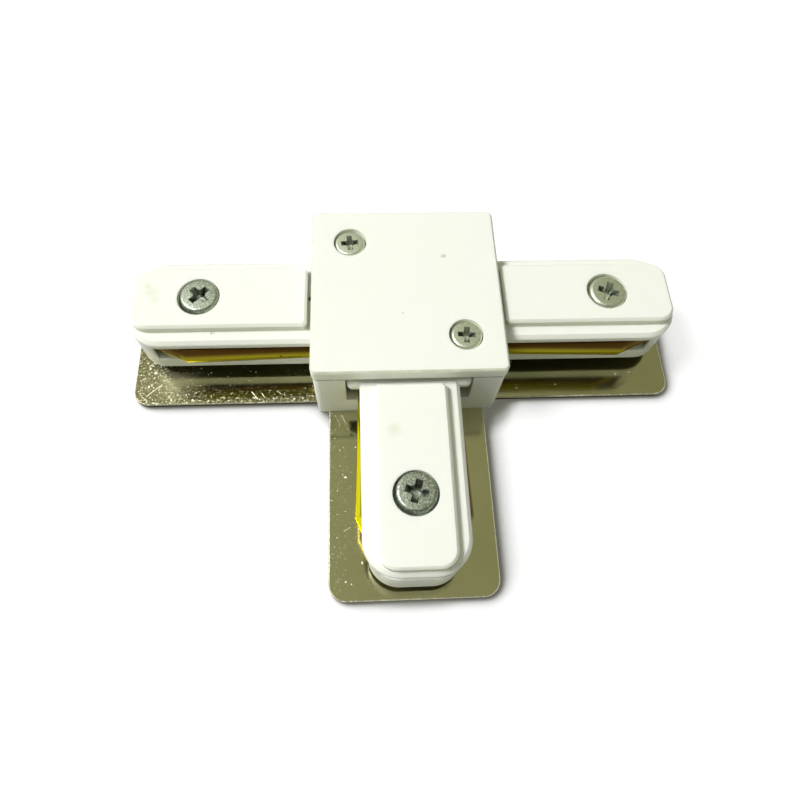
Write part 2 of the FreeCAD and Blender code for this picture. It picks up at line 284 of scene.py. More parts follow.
# %% White moulded ABS
def white_abs():
    material, tree = new_material("moulded_white_abs")
    place = add(tree, "TexCoord").outputs["Object"]
    # slow yellowing over some 20 mm
    ageing = add(tree, "TexNoise", {"Scale": 1 / (20 * MM), "Detail": 2.0}, {"Vector": place})
    plain = add(tree, "Mix", {
        "data_type": "RGBA", 6: linear("#FAFCF4"), 7: linear("#F6F8EA")}, {0: ageing.outputs["Fac"]})
    # specks of dust, one cell in ten of a 3.5 mm pattern
    cells = add(tree, "TexVoronoi", {"Scale": 1 / (3.5 * MM)}, {"Vector": place})
    chosen = add(tree, "SeparateColor", (), {0: cells.outputs["Color"]})
    few = add(tree, "Math", {"operation": "GREATER_THAN", 1: 0.9}, {0: chosen.outputs[0]})
    dot = add(tree, "MapRange", {"From Min": 0.015, "From Max": 0.04, "To Min": 0.6, "To Max": 0.0}, {
        "Value": cells.outputs["Distance"]})
    speck = add(tree, "Math", {"operation": "MULTIPLY"}, {0: few.outputs[0], 1: dot.outputs[0]})
    marks = largest(tree, [
        near(tree, place, (7.5, 6.9, 18.1), 0.02, 0.55),
        near(tree, place, (7.1, 6.8, 18.1), 0.0, 0.35),
        near(tree, place, (-0.9, -5.7, 18.1), 0.0, 0.25),
        near(tree, place, (-36.3, -6.9, 14.0), 0.08, 0.28),
        near(tree, place, (-35.8, -7.0, 14.0), 0.0, 0.2),
    ])
    marks = add(tree, "Math", {"operation": "MULTIPLY", 1: 0.6}, {0: marks}).outputs[0]
    smudges = largest(tree, [
        near(tree, place, (-48.4, 2.5, 15.8), 0.1, 1.3),
        near(tree, place, (-47.7, 1.1, 15.8), 0.2, 1.5),
        near(tree, place, (-47.0, -0.4, 15.8), 0.1, 1.2),
        near(tree, place, (-3.3, -27.7, 15.8), 0.1, 1.5),
    ])
    broken = add(tree, "TexNoise", {"Scale": 1 / (1.2 * MM), "Detail": 4.0}, {"Vector": place})
    patchy = add(tree, "Math", {"operation": "MULTIPLY"}, {0: smudges, 1: broken.outputs["Fac"]})
    patchy = add(tree, "Math", {"operation": "MULTIPLY", 1: 0.7}, {0: patchy.outputs[0]})
    smudged = add(tree, "Mix", {"data_type": "RGBA", 7: linear("#CBD8B4")}, {
        0: patchy.outputs[0], 6: plain.outputs[2]})
    specked_share = largest(tree, [speck.outputs[0], marks])
    specked = add(tree, "Mix", {"data_type": "RGBA", 7: linear("#8F8D74")}, {
        0: specked_share, 6: smudged.outputs[2]})
    # painted shade: a line along the seam under the cover's overhang, the slits behind the tongues, a dark spot
    # for a small hole in the left slit, and the strips' pockets
    spread = add(tree, "VectorMath", {"operation": "ABSOLUTE"}, {0: place})
    far = add(tree, "SeparateXYZ", (), {0: spread.outputs[0]})
    reach = add(tree, "Math", {"operation": "MAXIMUM"}, {0: far.outputs["X"], 1: far.outputs["Y"]})
    breadth = add(tree, "Math", {"operation": "MINIMUM"}, {0: far.outputs["X"], 1: far.outputs["Y"]})
    streaks = add(tree, "TexNoise", {"Scale": 1 / (2.5 * MM), "Detail": 3.0}, {"Vector": place})
    uneven = add(tree, "MapRange", {"From Min": 0.3, "From Max": 0.6, "To Min": 0.45, "To Max": 1.0}, {
        "Value": streaks.outputs["Fac"]})
    painted_seam_shade = all_of(tree, [
        band(tree, far.outputs["Z"], 14.85, 15.2, 0.08, 0.08),
        band(tree, reach.outputs[0], 17.45, 18.0, 0.05, 0.05),
        uneven.outputs[0],
    ])
    painted_slit_shade = all_of(tree, [
        band(tree, far.outputs["Z"], 13.0, 14.5, 0.2, 0.2),
        band(tree, far.outputs["X"], 17.0, 18.75, 0.15, 0.15),
        band(tree, far.outputs["Y"], -1.0, 6.6, 0.2, 0.2),
    ])
    painted_slit_shade = add(tree, "Math", {"operation": "MULTIPLY", 1: 0.3}, {0: painted_slit_shade}).outputs[0]
    painted_pocket_shade = all_of(tree, [
        band(tree, far.outputs["Z"], 11.4, 12.22, 1.6, 0.02),
        band(tree, reach.outputs[0], 43.0, 44.0, 1.0, 2.0),
        band(tree, breadth.outputs[0], 2.0, 8.0, 0.5, 0.5),
    ])
    painted_hole_shade = near(tree, place, (-18.1, 0.3, 14.0), 0.35, 0.3)
    painted_gap_shade_colour = add(tree, "Mix", {"data_type": "RGBA", 7: linear("#8C9076")}, {
        0: largest(tree, [painted_seam_shade, painted_slit_shade]), 6: specked.outputs[2]})
    painted_gap_shade_colour = add(tree, "Mix", {"data_type": "RGBA", 7: linear("#3B2E14")}, {
        0: largest(tree, [painted_pocket_shade, painted_hole_shade]), 6: painted_gap_shade_colour.outputs[2]})
    # painted shade, with some dirt, in the corners where surfaces meet, from an occlusion mask
    corner = add(tree, "AmbientOcclusion", {"samples": 8, "Distance": 0.7 * MM, "only_local": False})
    dirt_and_painted_shade = add(tree, "MapRange", {"From Min": 0.1, "From Max": 0.7, "To Min": 0.35, "To Max": 0.0}, {
        "Value": corner.outputs["AO"]})
    colour = add(tree, "Mix", {"data_type": "RGBA", 7: linear("#BFC0A8")}, {
        0: dirt_and_painted_shade.outputs[0], 6: painted_gap_shade_colour.outputs[2]})
    # painted shade: the undersides over the plate, which face down, are darkened
    looks = add(tree, "SeparateXYZ", (), {0: add(tree, "NewGeometry").outputs["True Normal"]})
    painted_underside_shade = add(tree, "MapRange", {"From Min": -0.3, "From Max": -0.8}, {"Value": looks.outputs["Z"]})
    colour = add(tree, "Mix", {"data_type": "RGBA", 7: linear("#6E6D58")}, {
        0: painted_underside_shade.outputs[0], 6: colour.outputs[2]})
    # the cover's slanted edge is greyed in patches
    slanting = add(tree, "MapRange", {"From Min": 0.97, "From Max": 0.8}, {"Value": looks.outputs["Z"]})
    greyed_cover_edge = all_of(tree, [
        slanting.outputs[0], band(tree, far.outputs["Z"], 17.7, 18.2, 0.05, 0.05), uneven.outputs[0]])
    greyed_cover_edge = add(tree, "Math", {"operation": "MULTIPLY", 1: 0.6}, {0: greyed_cover_edge})
    colour = add(tree, "Mix", {"data_type": "RGBA", 7: linear("#B9BC9E")}, {
        0: greyed_cover_edge.outputs[0], 6: colour.outputs[2]})
    # painted shade: the front sides of the tongues are greyed, and most the end of the stem's
    frontal = add(tree, "MapRange", {"From Min": -0.55, "From Max": -0.9}, {"Value": looks.outputs["Y"]})
    outside_mm = 60.0
    painted_light_mask = all_of(tree, [
        frontal.outputs[0],
        band(tree, far.outputs["Z"], 14.1, 15.1, 0.1, 0.6),
        band(tree, reach.outputs[0], 18.6, outside_mm, 0.3, 0.3),
    ])
    colour = add(tree, "Mix", {"data_type": "RGBA", 7: linear("#DDDFD1")}, {
        0: painted_light_mask, 6: colour.outputs[2]})
    painted_stem_end_shade = all_of(tree, [painted_light_mask, band(tree, far.outputs["Y"], 49.5, outside_mm, 1.0, 1.0)])
    colour = add(tree, "Mix", {"data_type": "RGBA", 7: linear("#BFC2AE")}, {
        0: painted_stem_end_shade, 6: colour.outputs[2]})
    # mould skin: grain of 0.25 mm and waves of 6 mm
    grain = add(tree, "TexNoise", {"Scale": 1 / (0.25 * MM), "Detail": 3.0}, {"Vector": place})
    waves = add(tree, "TexNoise", {"Scale": 1 / (6 * MM), "Detail": 1.0}, {"Vector": place})
    skin = add(tree, "Bump", {"Strength": 0.12, "Distance": 0.02 * MM}, {"Height": grain.outputs["Fac"]})
    skin = add(tree, "Bump", {"Strength": 0.25, "Distance": 0.15 * MM}, {
        "Height": waves.outputs["Fac"], "Normal": skin.outputs[0]})
    satin = add(tree, "MapRange", {"To Min": 0.36, "To Max": 0.48}, {"Value": waves.outputs["Fac"]})
    shader = add(tree, "BsdfPrincipled", {
        "IOR": 1.53, "Subsurface Weight": 0.6, "Subsurface Radius": (1.0, 1.0, 0.8),
        "Subsurface Scale": 1.0 * MM,
    }, {"Base Color": colour.outputs[2], "Roughness": satin.outputs[0], "Normal": skin.outputs[0]})
    finish_material(tree, shader.outputs[0])
    return material


abs_material = white_abs()
print("ABS:", len(abs_material.node_tree.nodes), "nodes")

# %% [markdown]
# ## Nickel-plated steel sheet
#
# The plate is cold-rolled steel, stamped and then nickel plated. Track ends slid along it have scratched
# the plating. A scratch is a line between two points, and its mask is the distance to that line: how far
# along the line the nearest point lies comes from a dot product, held between 0 and 1 by a clamp.

# %% Scratches as distance to a line
def scratch(tree, place, start_mm, end_mm, width_mm, depth):
    """Mask of one straight scratch across the top of the plate."""
    start = Vector((*start_mm, 1.0)) * MM
    run = Vector((*end_mm, 1.0)) * MM - start
    offset = add(tree, "VectorMath", {"operation": "SUBTRACT", 1: start}, {0: place})
    along = add(tree, "VectorMath", {"operation": "DOT_PRODUCT", 1: run / run.length_squared}, {
        0: offset.outputs[0]})
    share = add(tree, "Clamp", (), {0: along.outputs["Value"]})
    foot = add(tree, "VectorMath", {"operation": "SCALE", 0: run}, {"Scale": share.outputs[0]})
    away = add(tree, "VectorMath", {"operation": "DISTANCE"}, {0: offset.outputs[0], 1: foot.outputs[0]})
    line = add(tree, "MapRange", {
        "From Min": width_mm * MM * 0.35, "From Max": width_mm * MM, "To Min": depth, "To Max": 0.0,
    }, {"Value": away.outputs["Value"]})
    return line.outputs[0]


scratches = [
    ((-51.3, -13.2), (-48.8, -11.0), 0.1, 1.0),
    ((-30.9, -13.0), (-29.6, -14.6), 0.05, 0.8),
    ((-28.9, -13.3), (-28.2, -14.4), 0.05, 0.7),
    ((-25.9, -12.9), (-25.0, -13.6), 0.06, 0.8),
    ((-14.3, -18.4), (-13.2, -21.0), 0.02, 0.35),
    ((-13.5, -18.3), (-11.9, -21.6), 0.02, 0.3),
    ((-12.9, -18.6), (-11.3, -22.1), 0.022, 0.4),
    ((-13.9, -19.2), (-12.9, -20.3), 0.02, 0.35),
    ((-12.6, -41.6), (-11.5, -41.0), 0.06, 0.8),
]
print(len(scratches), "scratches, each as start, end, width in mm and depth")

# %% [markdown]
# ## The plating
#
# Bright nickel over rolled steel mirrors the inserts above it, slightly blurred, in its own yellow-grey. It
# mirrors less sharply towards the left end, and a little less on the right. The plating is pitted, most at
# the left end and along the front edge, and each pit or scratch is painted as a pale, matt fleck, a painted
# glint on a real mark. Noise adds more painted glints where the plating is worn, and the rounded rim gets a
# painted highlight, broken up by noise. The sheared sides of the sheet are rougher and darker than its face.

# %% Nickel-plated steel
def nickel_plate():
    material, tree = new_material("nickel_plated_steel")
    place = add(tree, "TexCoord").outputs["Object"]
    axes = add(tree, "SeparateXYZ", (), {0: place})
    cloud = add(tree, "TexNoise", {"Scale": 1 / (9 * MM), "Detail": 3.0}, {"Vector": place})
    plain = add(tree, "Mix", {
        "data_type": "RGBA", 6: linear("#D0CFAC"), 7: linear("#BDBA92")}, {0: cloud.outputs["Fac"]})
    # where the plating is worn: the left end, and the front edge of the run
    left_end = add(tree, "MapRange", {"From Min": -45.5 * MM, "From Max": -51 * MM}, {
        "Value": axes.outputs["X"]})
    left_half = add(tree, "MapRange", {"From Min": 4 * MM, "From Max": -22 * MM}, {
        "Value": axes.outputs["X"]})
    front_edge = add(tree, "MapRange", {"From Min": -11.2 * MM, "From Max": -14.6 * MM}, {
        "Value": axes.outputs["Y"]})
    run = add(tree, "MapRange", {"From Min": -16.2 * MM, "From Max": -15.5 * MM}, {"Value": axes.outputs["Y"]})
    left_front = add(tree, "Math", {"operation": "MULTIPLY"}, {
        0: left_half.outputs[0], 1: front_edge.outputs[0]})
    run_front = add(tree, "Math", {"operation": "MULTIPLY"}, {0: left_front.outputs[0], 1: run.outputs[0]})
    stem_left = add(tree, "MapRange", {"From Min": -9 * MM, "From Max": -13 * MM, "To Max": 0.32}, {
        "Value": axes.outputs["X"]})
    stem_edge = add(tree, "MapRange", {"From Min": -14.3 * MM, "From Max": -15.3 * MM, "To Max": 0.6}, {
        "Value": axes.outputs["X"]})
    stem_rim = add(tree, "MapRange", {"From Min": 1.0, "From Max": 0.0}, {"Value": run.outputs[0]})
    stem_worn = add(tree, "Math", {"operation": "MULTIPLY"}, {0: stem_edge.outputs[0], 1: stem_rim.outputs[0]})
    worn = largest(tree, [
        left_end.outputs[0], run_front.outputs[0], stem_left.outputs[0], stem_worn.outputs[0]])
    # pits: cells of 0.5 and 1 mm, torn by a finer noise. A cell has a pit when its random number is over a
    # limit, and the limit sinks from the rarest to the commonest where the plating is worn
    ragged = add(tree, "TexNoise", {"Scale": 1 / (0.35 * MM), "Detail": 2.0}, {"Vector": place})
    shift = add(tree, "VectorMath", {"operation": "SCALE", "Scale": 0.5 * MM}, {0: ragged.outputs["Color"]})
    torn = add(tree, "VectorMath", {"operation": "ADD"}, {0: place, 1: shift.outputs[0]})
    pits = []
    for cell_mm, rarest, commonest in ((0.5, 0.997, 0.62), (1.0, 0.97, 0.72)):
        cells = add(tree, "TexVoronoi", {"Scale": 1 / (cell_mm * MM)}, {"Vector": torn.outputs[0]})
        chance = add(tree, "SeparateColor", (), {0: cells.outputs["Color"]})
        limit = add(tree, "MapRange", {"To Min": rarest, "To Max": commonest}, {"Value": worn})
        kept = add(tree, "Math", {"operation": "GREATER_THAN"}, {0: chance.outputs[0], 1: limit.outputs[0]})
        size = add(tree, "MapRange", {"To Min": 0.08, "To Max": 0.27}, {"Value": chance.outputs[1]})
        inside = add(tree, "Math", {"operation": "LESS_THAN"}, {
            0: cells.outputs["Distance"], 1: size.outputs[0]})
        pits.append(add(tree, "Math", {"operation": "MULTIPLY"}, {
            0: kept.outputs[0], 1: inside.outputs[0]}).outputs[0])
    cuts = largest(tree, [scratch(tree, place, *cut) for cut in scratches])
    flecks = largest(tree, pits + [cuts])
    # hairlines from handling, in two directions, each about 0.05 mm wide and 12 mm long
    hairs = []
    for turn in (35, 118):
        stretched = add(tree, "Mapping", {
            "Rotation": (0, 0, math.radians(turn)), "Scale": (1 / (12 * MM), 1 / (0.25 * MM), 1),
        }, {"Vector": place})
        lines = add(tree, "TexNoise", {"Scale": 1.0, "Detail": 1.0}, {"Vector": stretched.outputs[0]})
        hair = add(tree, "MapRange", {"From Min": 0.7, "From Max": 0.76}, {"Value": lines.outputs["Fac"]})
        hairs.append(hair.outputs[0])
    hairline = largest(tree, hairs)
    # sheared sides: the face looks up, the sides don't
    facing = add(tree, "SeparateXYZ", (), {0: add(tree, "NewGeometry").outputs["True Normal"]})
    upright = add(tree, "Math", {"operation": "ABSOLUTE"}, {0: facing.outputs["Z"]})
    side = add(tree, "MapRange", {"From Min": 0.3, "From Max": 0.1}, {"Value": upright.outputs[0]})
    # painted highlight along the rounded rim, broken up by noise, and painted glints from noise in the worn
    # areas
    rim = add(tree, "MapRange", {"From Min": 0.97, "From Max": 0.9}, {"Value": upright.outputs[0]})
    painted_light_mask = add(tree, "MapRange", {"From Min": 0.36, "From Max": 0.52, "To Min": 1.0, "To Max": 0.4}, {
        "Value": ragged.outputs["Fac"]})
    painted_rim_highlight = add(tree, "Math", {"operation": "MULTIPLY"}, {0: rim.outputs[0], 1: painted_light_mask.outputs[0]})
    speckle = add(tree, "TexNoise", {"Scale": 1 / (0.45 * MM), "Detail": 3.0}, {"Vector": place})
    glint = add(tree, "MapRange", {"From Min": 0.42, "From Max": 0.33, "To Max": 0.7}, {
        "Value": speckle.outputs["Fac"]})
    glints = add(tree, "Math", {"operation": "MULTIPLY"}, {0: glint.outputs[0], 1: worn})
    flecks_and_painted_highlights = largest(tree, [flecks, painted_rim_highlight.outputs[0], glints.outputs[0]])
    dull = add(tree, "MapRange", {"From Min": 0.5, "From Max": 0.6, "To Max": 0.9}, {
        "Value": speckle.outputs["Fac"]})
    worn_run = largest(tree, [left_end.outputs[0], run_front.outputs[0]])
    dull_spots = add(tree, "Math", {"operation": "MULTIPLY"}, {0: dull.outputs[0], 1: worn_run})
    dulled = add(tree, "Mix", {"data_type": "RGBA", 7: linear("#6B6748")}, {
        0: dull_spots.outputs[0], 6: plain.outputs[2]})
    # the left end is also darker as a whole
    end_tone = add(tree, "MapRange", {"From Min": -44 * MM, "From Max": -50 * MM, "To Max": 0.75}, {
        "Value": axes.outputs["X"]})
    dulled = add(tree, "Mix", {"data_type": "RGBA", 7: linear("#7C7856")}, {
        0: end_tone.outputs[0], 6: dulled.outputs[2]})
    flecked = add(tree, "Mix", {"data_type": "RGBA", 7: linear("#F4F2DC")}, {
        0: flecks_and_painted_highlights, 6: dulled.outputs[2]})
    colour = add(tree, "Mix", {"data_type": "RGBA", 7: linear("#5E5C4C")}, {
        0: side.outputs[0], 6: flecked.outputs[2]})
    # the mirror blurs towards the left end and, a little, on the right
    smooth = add(tree, "MapRange", {"To Min": 0.06, "To Max": 0.15}, {"Value": cloud.outputs["Fac"]})
    near_end = add(tree, "MapRange", {"From Min": -38 * MM, "From Max": -48 * MM, "To Max": 0.16}, {
        "Value": axes.outputs["X"]})
    smooth = add(tree, "Math", {"operation": "ADD"}, {0: smooth.outputs[0], 1: near_end.outputs[0]})
    right_half = add(tree, "MapRange", {"From Min": 8 * MM, "From Max": 30 * MM, "To Max": 0.04}, {
        "Value": axes.outputs["X"]})
    smooth = add(tree, "Math", {"operation": "ADD"}, {0: smooth.outputs[0], 1: right_half.outputs[0]})
    rough_marks = add(tree, "Mix", {"data_type": "FLOAT", 3: 0.55}, {
        0: largest(tree, [flecks_and_painted_highlights, side.outputs[0]]), 2: smooth.outputs[0]})
    rough = add(tree, "Math", {"operation": "MULTIPLY_ADD", 1: 0.12}, {
        0: hairline, 2: rough_marks.outputs[0]})
    # rolling leaves a skin of 0.4 mm grain, and pits are dents
    skin = add(tree, "TexNoise", {"Scale": 1 / (0.4 * MM), "Detail": 3.0}, {"Vector": place})
    bump = add(tree, "Bump", {"Strength": 0.14, "Distance": 0.006 * MM}, {"Height": skin.outputs["Fac"]})
    bump = add(tree, "Bump", {"Strength": 0.6, "Distance": 0.02 * MM, "invert": True}, {
        "Height": flecks, "Normal": bump.outputs[0]})
    # pits, scratches, the painted rim highlight and the painted glints are matt, the plating mirrors
    plated = add(tree, "MapRange", {"To Min": 1.0, "To Max": 0.45}, {"Value": flecks_and_painted_highlights})
    shader = add(tree, "BsdfPrincipled", (), {
        "Base Color": colour.outputs[2], "Metallic": plated.outputs[0], "Roughness": rough.outputs[0],
        "Normal": bump.outputs[0]})
    finish_material(tree, shader.outputs[0])
    return material


nickel_material = nickel_plate()
print("nickel:", len(nickel_material.node_tree.nodes), "nodes,", len(scratches), "named scratches")

# %% [markdown]
# ## Rolled brass strip
#
# The contacts are spring brass, cut from rolled strip. Rolling leaves fine lines along the strip and a
# bright, saturated yellow, and age adds brown spots. Shade is painted on in the same brown: above the crest
# of all strips but the one on the left of the stem, along the lower edges, below the crest on the stem, and
# on the tails that bend into the arms, where the strips reflect dark or lie in shade. A pale line below the
# crest of the left arm's strips is a painted highlight. The brown spots and the painted shade are made less
# of a metal and don't shine. The lines are noise that changes fast across the strip, in height, and slowly
# along it, so the same pattern suits all three arms. A metal turns white at grazing angles. Brass keeps its
# yellow there, which the specular tint gives it.

# %% Rolled brass
def rolled_brass():
    material, tree = new_material("rolled_spring_brass")
    place = add(tree, "TexCoord").outputs["Object"]
    line_length, line_width = 14 * MM, 0.12 * MM
    stretched = add(tree, "Mapping", {"Scale": (1 / line_length, 1 / line_length, 1 / line_width)}, {
        "Vector": place})
    lines = add(tree, "TexNoise", {"Scale": 1.0, "Detail": 3.0}, {"Vector": stretched.outputs[0]})
    bright = add(tree, "Mix", {
        "data_type": "RGBA", 6: linear("#DCD634"), 7: linear("#CCC22A")}, {0: lines.outputs["Fac"]})
    axes = add(tree, "SeparateXYZ", (), {0: place})
    # painted highlight: a pale line below the crest of the left arm's strips
    line_low = add(tree, "MapRange", {"From Min": 8.0 * MM, "From Max": 8.15 * MM}, {
        "Value": axes.outputs["Z"]})
    line_high = add(tree, "MapRange", {"From Min": 9.1 * MM, "From Max": 8.6 * MM}, {
        "Value": axes.outputs["Z"]})
    left_arm = add(tree, "MapRange", {"From Min": 5 * MM, "From Max": -15 * MM}, {
        "Value": axes.outputs["X"]})
    painted_crest_highlight = add(tree, "Math", {"operation": "MULTIPLY"}, {0: line_low.outputs[0], 1: line_high.outputs[0]})
    painted_crest_highlight = add(tree, "Math", {"operation": "MULTIPLY"}, {0: painted_crest_highlight.outputs[0], 1: left_arm.outputs[0]})
    bright = add(tree, "Mix", {"data_type": "RGBA", 7: linear("#FFF7A8")}, {
        0: painted_crest_highlight.outputs[0], 6: bright.outputs[2]})
    age = add(tree, "TexNoise", {"Scale": 1 / (1.6 * MM), "Detail": 5.0}, {"Vector": place})
    spots = add(tree, "MapRange", {"From Min": 0.62, "From Max": 0.74, "To Max": 0.6}, {
        "Value": age.outputs["Fac"]})
    # painted shade: the strips are darkened to brown above their crest, all but the one on the left of the stem
    upper = add(tree, "MapRange", {"From Min": 8.5 * MM, "From Max": 11.0 * MM}, {
        "Value": axes.outputs["Z"]})
    in_run = add(tree, "MapRange", {"From Min": -15 * MM, "From Max": -12 * MM}, {"Value": axes.outputs["Y"]})
    right_side = add(tree, "MapRange", {"From Min": -1 * MM, "From Max": 1 * MM}, {"Value": axes.outputs["X"]})
    darker_ones = largest(tree, [in_run.outputs[0], right_side.outputs[0]])
    painted_shade_above_crest = add(tree, "Math", {"operation": "MULTIPLY"}, {0: upper.outputs[0], 1: darker_ones})
    # painted shade along the lower edge too, which rises to the crest on the stem
    lower_edge = add(tree, "MapRange", {"From Min": 8.2 * MM, "From Max": 7.8 * MM, "To Max": 0.95}, {
        "Value": axes.outputs["Z"]})
    below_crest = add(tree, "MapRange", {"From Min": 9.5 * MM, "From Max": 8.8 * MM, "To Max": 0.95}, {
        "Value": axes.outputs["Z"]})
    on_stem = add(tree, "Math", {"operation": "SUBTRACT", 0: 1.0}, {1: in_run.outputs[0]})
    stem_lower = add(tree, "Math", {"operation": "MULTIPLY"}, {
        0: below_crest.outputs[0], 1: on_stem.outputs[0]})
    # painted shade: the tails that bend into the arms are the darkest
    spread = add(tree, "VectorMath", {"operation": "ABSOLUTE"}, {0: place})
    far = add(tree, "SeparateXYZ", (), {0: spread.outputs[0]})
    bent = add(tree, "MapRange", {"From Min": 41.0 * MM, "From Max": 43.0 * MM, "To Max": 0.95}, {
        "Value": far.outputs["X"]})
    above_edge = add(tree, "MapRange", {"From Min": 8.2 * MM, "From Max": 8.7 * MM}, {
        "Value": axes.outputs["Z"]})
    tip = add(tree, "MapRange", {"From Min": 44.5 * MM, "From Max": 47.0 * MM}, {"Value": far.outputs["X"]})
    painted_tail_shade = add(tree, "Math", {"operation": "MULTIPLY"}, {
        0: bent.outputs[0], 1: largest(tree, [above_edge.outputs[0], tip.outputs[0]])})
    # brown spots and the painted shade, joined in one mask
    spots_and_painted_shade = largest(tree, [
        spots.outputs[0],
        painted_tail_shade.outputs[0],
        painted_shade_above_crest.outputs[0],
        lower_edge.outputs[0],
        stem_lower.outputs[0],
        near(tree, place, (-24.0, -9.5, 9.6), 0.25, 0.5),
    ])
    colour = add(tree, "Mix", {"data_type": "RGBA", 7: linear("#4E340B")}, {0: spots_and_painted_shade, 6: bright.outputs[2]})
    shine = add(tree, "MapRange", {"To Min": 0.1, "To Max": 0.18}, {"Value": lines.outputs["Fac"]})
    rough = add(tree, "Mix", {"data_type": "FLOAT", 3: 0.45}, {0: spots_and_painted_shade, 2: shine.outputs[0]})
    metal = add(tree, "MapRange", {"To Min": 1.0, "To Max": 0.45}, {"Value": spots_and_painted_shade})
    bump = add(tree, "Bump", {"Strength": 0.2, "Distance": 0.01 * MM}, {"Height": lines.outputs["Fac"]})
    shader = add(tree, "BsdfPrincipled", {"Specular IOR Level": 0.2, "Specular Tint": (1.0, 0.9, 0.3, 1)}, {
        "Base Color": colour.outputs[2], "Metallic": metal.outputs[0], "Roughness": rough.outputs[0],
        "Normal": bump.outputs[0]})
    finish_material(tree, shader.outputs[0])
    return material


brass_material = rolled_brass()
print("brass:", len(brass_material.node_tree.nodes), "nodes")

# %% [markdown]
# ## Zinc-plated screw steel
#
# The screws are cold-headed steel with a thin zinc plating: grey, a little cloudy, with a fine grain from
# tumbling in the plating barrel. The screws of the left arm and the stem are made darker, in grains. An
# occlusion mask paints shade and dirt into the recess.

# %% Zinc-plated steel
def zinc_plate():
    material, tree = new_material("zinc_plated_steel")
    place = add(tree, "TexCoord").outputs["Object"]
    cloud = add(tree, "TexNoise", {"Scale": 1 / (0.8 * MM), "Detail": 5.0, "Roughness": 0.65}, {
        "Vector": place})
    mottle = add(tree, "MapRange", {"From Min": 0.35, "From Max": 0.65}, {"Value": cloud.outputs["Fac"]})
    plain = add(tree, "Mix", {
        "data_type": "RGBA", 6: linear("#EEF4E8"), 7: linear("#C6CFBE")}, {0: mottle.outputs[0]})
    # the screws of the left arm and the stem are darker, in grains of 0.4 mm
    axes = add(tree, "SeparateXYZ", (), {0: place})
    left_one = add(tree, "MapRange", {"From Min": -20 * MM, "From Max": -30 * MM, "To Max": 0.8}, {
        "Value": axes.outputs["X"]})
    stem_one = add(tree, "MapRange", {"From Min": -20 * MM, "From Max": -30 * MM}, {"Value": axes.outputs["Y"]})
    left_and_stem_darker = largest(tree, [left_one.outputs[0], stem_one.outputs[0]])
    grains = add(tree, "TexNoise", {"Scale": 1 / (0.4 * MM), "Detail": 2.0}, {"Vector": place})
    dulling = add(tree, "MapRange", {"From Min": 0.36, "From Max": 0.56, "To Min": 0.25, "To Max": 0.95}, {
        "Value": grains.outputs["Fac"]})
    dulled = add(tree, "Math", {"operation": "MULTIPLY"}, {0: left_and_stem_darker, 1: dulling.outputs[0]})
    plain = add(tree, "Mix", {"data_type": "RGBA", 7: linear("#89938A")}, {
        0: dulled.outputs[0], 6: plain.outputs[2]})
    # painted shade and dirt in the recess, from an occlusion mask
    deep = add(tree, "AmbientOcclusion", {"samples": 8, "Distance": 1.2 * MM, "only_local": True})
    dirt_and_painted_shade = add(tree, "MapRange", {"From Min": 0.3, "From Max": 0.85, "To Min": 0.9, "To Max": 0.0}, {
        "Value": deep.outputs["AO"]})
    colour = add(tree, "Mix", {"data_type": "RGBA", 7: linear("#3C4236")}, {
        0: dirt_and_painted_shade.outputs[0], 6: plain.outputs[2]})
    rough = add(tree, "MapRange", {"To Min": 0.34, "To Max": 0.52}, {"Value": mottle.outputs[0]})
    grain = add(tree, "TexNoise", {"Scale": 1 / (0.35 * MM), "Detail": 3.0}, {"Vector": place})
    bump = add(tree, "Bump", {"Strength": 0.7, "Distance": 0.09 * MM}, {"Height": grain.outputs["Fac"]})
    shader = add(tree, "BsdfPrincipled", {"Metallic": 1.0}, {
        "Base Color": colour.outputs[2], "Roughness": rough.outputs[0], "Normal": bump.outputs[0]})
    finish_material(tree, shader.outputs[0])
    return material


zinc_material = zinc_plate()
print("zinc:", len(zinc_material.node_tree.nodes), "nodes")

# %% [markdown]
# ## Finishes on the solids
#
# Every solid keeps its mesh. It gets its material, and a narrow bevel as a modifier, because no moulded or
# stamped edge is perfectly sharp and a sharp one catches no light. The weld comes first, since the solids
# arrive with their faces split along the edges and a bevel needs them joined.

# %% Materials and soft edges
finishes = {
    "white_plastic": (abs_material, 0.22),
    "nickel_plate": (nickel_material, 0.05),
    "brass": (brass_material, 0.04),
    "zinc_screw": (zinc_material, 0.05),
}
slots = {row["node"]: row["material_slot"] for row in frame["record"]["subparts"]}
for name, node in frame["nodes"].items():
    material, edge_mm = finishes[slots[name]]
    for slot in node.material_slots:
        slot.material = material
    weld = node.modifiers.new("weld", "WELD")
    weld.merge_threshold = 0.0005 * MM
    bevel = node.modifiers.new("soft_edges", "BEVEL")
    bevel.width = edge_mm * MM
    bevel.segments = 3
    bevel.limit_method = "ANGLE"
    bevel.angle_limit = math.radians(32)
    print(name, slots[name], edge_mm, "mm edges")

# %% [markdown]
# ## Screws
#
# A pan-head screw is a turned form, so its head and core are one outline spun round the axis. The thread is
# a ridge that climbs round the core, and it fades out over one turn at both ends.

# %% Turned forms and threads
def turn(bm, outline, steps):
    """Spins an outline of (radius, height) points round Z, closed at both ends of the axis."""
    rings = []
    for radius, level in outline:
        if radius == 0:
            rings.append([bm.verts.new((0, 0, level))])
            continue
        angles = [2 * math.pi * i / steps for i in range(steps)]
        rings.append([bm.verts.new((radius * math.cos(a), radius * math.sin(a), level)) for a in angles])
    for lower, upper in zip(rings, rings[1:]):
        for i in range(steps):
            j = (i + 1) % steps
            if len(lower) == 1:
                bm.faces.new((lower[0], upper[j], upper[i]))
            elif len(upper) == 1:
                bm.faces.new((lower[i], lower[j], upper[0]))
            else:
                bm.faces.new((lower[i], lower[j], upper[j], upper[i]))


